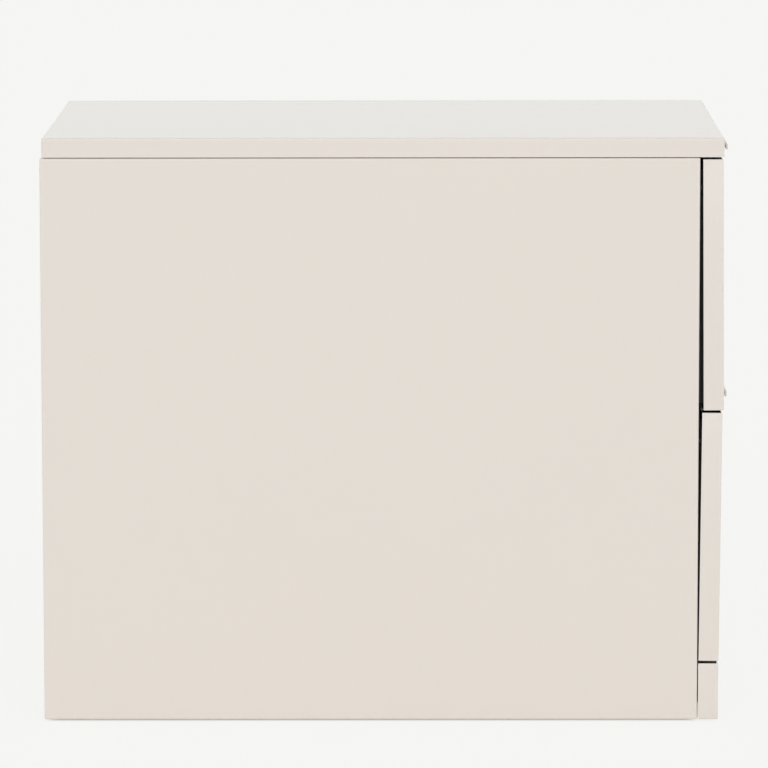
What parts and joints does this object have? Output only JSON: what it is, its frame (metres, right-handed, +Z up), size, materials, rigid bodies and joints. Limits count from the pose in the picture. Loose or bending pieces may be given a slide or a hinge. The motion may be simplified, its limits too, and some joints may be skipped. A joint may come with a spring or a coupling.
{
  "type": "metal filing cabinet",
  "caption": "Steel filing cabinet with flat overlay drawer fronts, thin plate pulls, full-extension slides, hanging-file rails and levelling feet, off-white outside and charcoal inside.",
  "frame": {"origin": "middle of the whole box, pulls included, on the floor under the levelling feet", "axes": "+Z up, +X to the right seen from the front, drawers open towards -Y"},
  "size_m": [0.457, 0.7176, 0.61],
  "materials": {
    "case_paint": "satin warm off-white powder coat with a fine orange-peel texture",
    "case_inside_paint": "thin charcoal powder coat on the inner framing, so that the gaps look black",
    "drawer_paint": "satin charcoal powder coat on the drawer boxes and the fronts' liners",
    "pull_paint": "satin off-white powder coat on the thin plate pulls",
    "zinc_slide": "bright zinc-plated rolled steel",
    "zinc_fastener": "zinc-plated screws and nuts",
    "polished_ball": "polished steel balls in plated retainer strips",
    "black_rubber": "matt black rubber",
    "foot_polymer": "black moulded glide on a zinc stud"
  },
  "bodies": {
    "cabinet": {"left_side_panel": "case_paint", "right_side_panel": "case_paint", "back_panel": "case_paint", "top_panel": "case_paint", "top_front_channel": "case_inside_paint", "top_rear_channel": "case_inside_paint", "base_pan": "case_inside_paint", "kick_plate": "case_paint", "middle_rail": "case_inside_paint", "left_front_upright": "case_inside_paint", "left_rear_upright": "case_inside_paint", "right_front_upright": "case_inside_paint", "right_rear_upright": "case_inside_paint", "top_left_outer_rail": "zinc_slide", "top_right_outer_rail": "zinc_slide", "bottom_left_outer_rail": "zinc_slide", "bottom_right_outer_rail": "zinc_slide", "foot_nuts": "zinc_fastener", "slide_screws": "zinc_fastener", "top_screws": "zinc_fastener", "kick_screws": "zinc_fastener", "drawer_bumpers": "black_rubber"},
    "top_drawer": {"top_drawer_front": "case_paint", "top_drawer_liner": "drawer_paint", "top_drawer_floor": "drawer_paint", "top_drawer_back_wall": "drawer_paint", "top_drawer_pull": "pull_paint", "top_drawer_pull_rivets": "pull_paint", "top_drawer_rail_screws": "zinc_fastener", "top_drawer_left_wall": "drawer_paint", "top_drawer_left_file_rail": "drawer_paint", "top_drawer_left_inner_rail": "zinc_slide", "top_drawer_right_wall": "drawer_paint", "top_drawer_right_file_rail": "drawer_paint", "top_drawer_right_inner_rail": "zinc_slide"},
    "top_carriages": {"top_left_carriage_rail": "zinc_slide", "top_right_carriage_rail": "zinc_slide"},
    "top_outer_cages": {"top_outer_ball_cages": "polished_ball"},
    "top_inner_cages": {"top_inner_ball_cages": "polished_ball"},
    "bottom_drawer": {"bottom_drawer_front": "case_paint", "bottom_drawer_liner": "drawer_paint", "bottom_drawer_floor": "drawer_paint", "bottom_drawer_back_wall": "drawer_paint", "bottom_drawer_pull": "pull_paint", "bottom_drawer_pull_rivets": "pull_paint", "bottom_drawer_rail_screws": "zinc_fastener", "bottom_drawer_left_wall": "drawer_paint", "bottom_drawer_left_file_rail": "drawer_paint", "bottom_drawer_left_inner_rail": "zinc_slide", "bottom_drawer_right_wall": "drawer_paint", "bottom_drawer_right_file_rail": "drawer_paint", "bottom_drawer_right_inner_rail": "zinc_slide"},
    "bottom_carriages": {"bottom_left_carriage_rail": "zinc_slide", "bottom_right_carriage_rail": "zinc_slide"},
    "bottom_outer_cages": {"bottom_outer_ball_cages": "polished_ball"},
    "bottom_inner_cages": {"bottom_inner_ball_cages": "polished_ball"},
    "left_front_foot": {"left_front_foot": "foot_polymer"},
    "left_rear_foot": {"left_rear_foot": "foot_polymer"},
    "right_front_foot": {"right_front_foot": "foot_polymer"},
    "right_rear_foot": {"right_rear_foot": "foot_polymer"}
  },
  "joints": [
    {"name": "top_drawer_slide", "type": "slide", "parent": "cabinet", "child": "top_drawer", "axis": [0, -1, 0], "range_m": [0, 0.62]},
    {"name": "top_carriages_slide", "type": "slide", "parent": "cabinet", "child": "top_carriages", "axis": [0, -1, 0], "range_m": [0, 0.31]},
    {"name": "top_outer_cages_slide", "type": "slide", "parent": "cabinet", "child": "top_outer_cages", "axis": [0, -1, 0], "range_m": [0, 0.155]},
    {"name": "top_inner_cages_slide", "type": "slide", "parent": "cabinet", "child": "top_inner_cages", "axis": [0, -1, 0], "range_m": [0, 0.465]},
    {"name": "bottom_drawer_slide", "type": "slide", "parent": "cabinet", "child": "bottom_drawer", "axis": [0, -1, 0], "range_m": [0, 0.62]},
    {"name": "bottom_carriages_slide", "type": "slide", "parent": "cabinet", "child": "bottom_carriages", "axis": [0, -1, 0], "range_m": [0, 0.31]},
    {"name": "bottom_outer_cages_slide", "type": "slide", "parent": "cabinet", "child": "bottom_outer_cages", "axis": [0, -1, 0], "range_m": [0, 0.155]},
    {"name": "bottom_inner_cages_slide", "type": "slide", "parent": "cabinet", "child": "bottom_inner_cages", "axis": [0, -1, 0], "range_m": [0, 0.465]},
    {"name": "left_front_foot_turn", "type": "hinge", "parent": "cabinet", "child": "left_front_foot", "pos_m": [-0.1835, -0.2762, 0], "axis": [0, 0, 1], "continuous": true},
    {"name": "left_rear_foot_turn", "type": "hinge", "parent": "cabinet", "child": "left_rear_foot", "pos_m": [-0.1835, 0.3138, 0], "axis": [0, 0, 1], "continuous": true},
    {"name": "right_front_foot_turn", "type": "hinge", "parent": "cabinet", "child": "right_front_foot", "pos_m": [0.1835, -0.2762, 0], "axis": [0, 0, 1], "continuous": true},
    {"name": "right_rear_foot_turn", "type": "hinge", "parent": "cabinet", "child": "right_rear_foot", "pos_m": [0.1835, 0.3138, 0], "axis": [0, 0, 1], "continuous": true}
  ],
  "couplings": [
    {"joint": "top_carriages_slide", "follows": "top_drawer_slide", "ratio": 0.5},
    {"joint": "top_outer_cages_slide", "follows": "top_drawer_slide", "ratio": 0.25},
    {"joint": "top_inner_cages_slide", "follows": "top_drawer_slide", "ratio": 0.75},
    {"joint": "bottom_carriages_slide", "follows": "bottom_drawer_slide", "ratio": 0.5},
    {"joint": "bottom_outer_cages_slide", "follows": "bottom_drawer_slide", "ratio": 0.25},
    {"joint": "bottom_inner_cages_slide", "follows": "bottom_drawer_slide", "ratio": 0.75}
  ]
}
